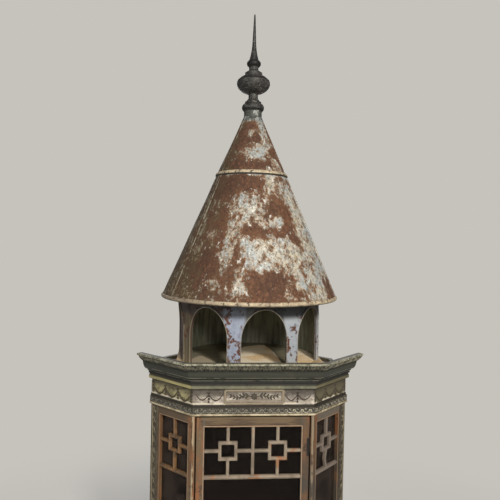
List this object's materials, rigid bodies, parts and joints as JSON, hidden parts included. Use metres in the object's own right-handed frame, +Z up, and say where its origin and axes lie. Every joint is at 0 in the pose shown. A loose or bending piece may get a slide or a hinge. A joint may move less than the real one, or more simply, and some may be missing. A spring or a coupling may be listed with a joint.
{
  "type": "conical cupola on a glazed cabinet",
  "caption": "Conical sheet-metal cupola with a turned finial on an open arcade, standing on a canted glazed cabinet with a lattice door.",
  "frame": {"origin": "on the floor, on the upright axis of the cupola", "axes": "+Z up, the door faces -Y"},
  "size_m": [0.7306, 0.62, 2.3065],
  "materials": {
    "roof_metal": "flaking pale paint over rust",
    "rim_metal": "worn cream paint over rust",
    "arcade_metal": "flaking blue-grey paint",
    "finial_metal": "dark weathered",
    "board_wood": "dusty bare board",
    "cornice_paint": "worn green-black paint",
    "frieze_paint": "worn cream paint",
    "ornament_paint": "dark paint rubbed light on the relief",
    "frame_wood": "worn brown paint",
    "bar_paint": "worn grey-cream paint",
    "panel_wood": "worn olive-brown paint",
    "glass": "old clear glass",
    "hinge_iron": "dark",
    "knob_brass": "tarnished"
  },
  "bodies": {
    "case": {"finial_spike": "finial_metal", "finial_ball": "finial_metal", "finial_base": "finial_metal", "cone_collar": "roof_metal", "upper_cone": "roof_metal", "lower_cone": "roof_metal", "cone_band": "rim_metal", "rim_roll": "rim_metal", "soffit_board": "board_wood", "top_board": "board_wood", "ceiling_board": "board_wood", "floor_board": "board_wood", "cornice_front": "cornice_paint", "cornice_back": "cornice_paint", "cornice_sides": "cornice_paint", "cornice_front_cants": "cornice_paint", "cornice_back_cants": "cornice_paint", "frieze": "frieze_paint", "frieze_tablet": "frieze_paint", "architrave": "ornament_paint", "base_moulding": "cornice_paint", "plinth": "cornice_paint", "front_posts": "frame_wood", "outer_posts": "ornament_paint", "back_posts": "ornament_paint", "side_panels": "panel_wood", "back_cant_panels": "panel_wood", "back_panel": "panel_wood", "left_cant_frame": "frame_wood", "right_cant_frame": "frame_wood", "cant_lattices": "bar_paint", "cant_glass": "glass", "case_hinges": "hinge_iron", "arcade_pier_1": "arcade_metal", "arcade_pier_2": "arcade_metal", "arcade_pier_3": "arcade_metal", "arcade_pier_4": "arcade_metal", "arcade_pier_5": "arcade_metal", "arcade_pier_6": "arcade_metal", "arcade_pier_7": "arcade_metal", "arcade_pier_8": "arcade_metal"},
    "door": {"door_frame": "frame_wood", "door_lattices": "bar_paint", "door_glass": "glass", "door_hinges": "hinge_iron", "door_knob": "knob_brass"}
  },
  "joints": [
    {"name": "door_swing", "type": "hinge", "parent": "case", "child": "door", "pos_m": [0.1755, -0.252, 0.5565], "axis": [0, 0, 1], "range_deg": [0, 110]}
  ]
}
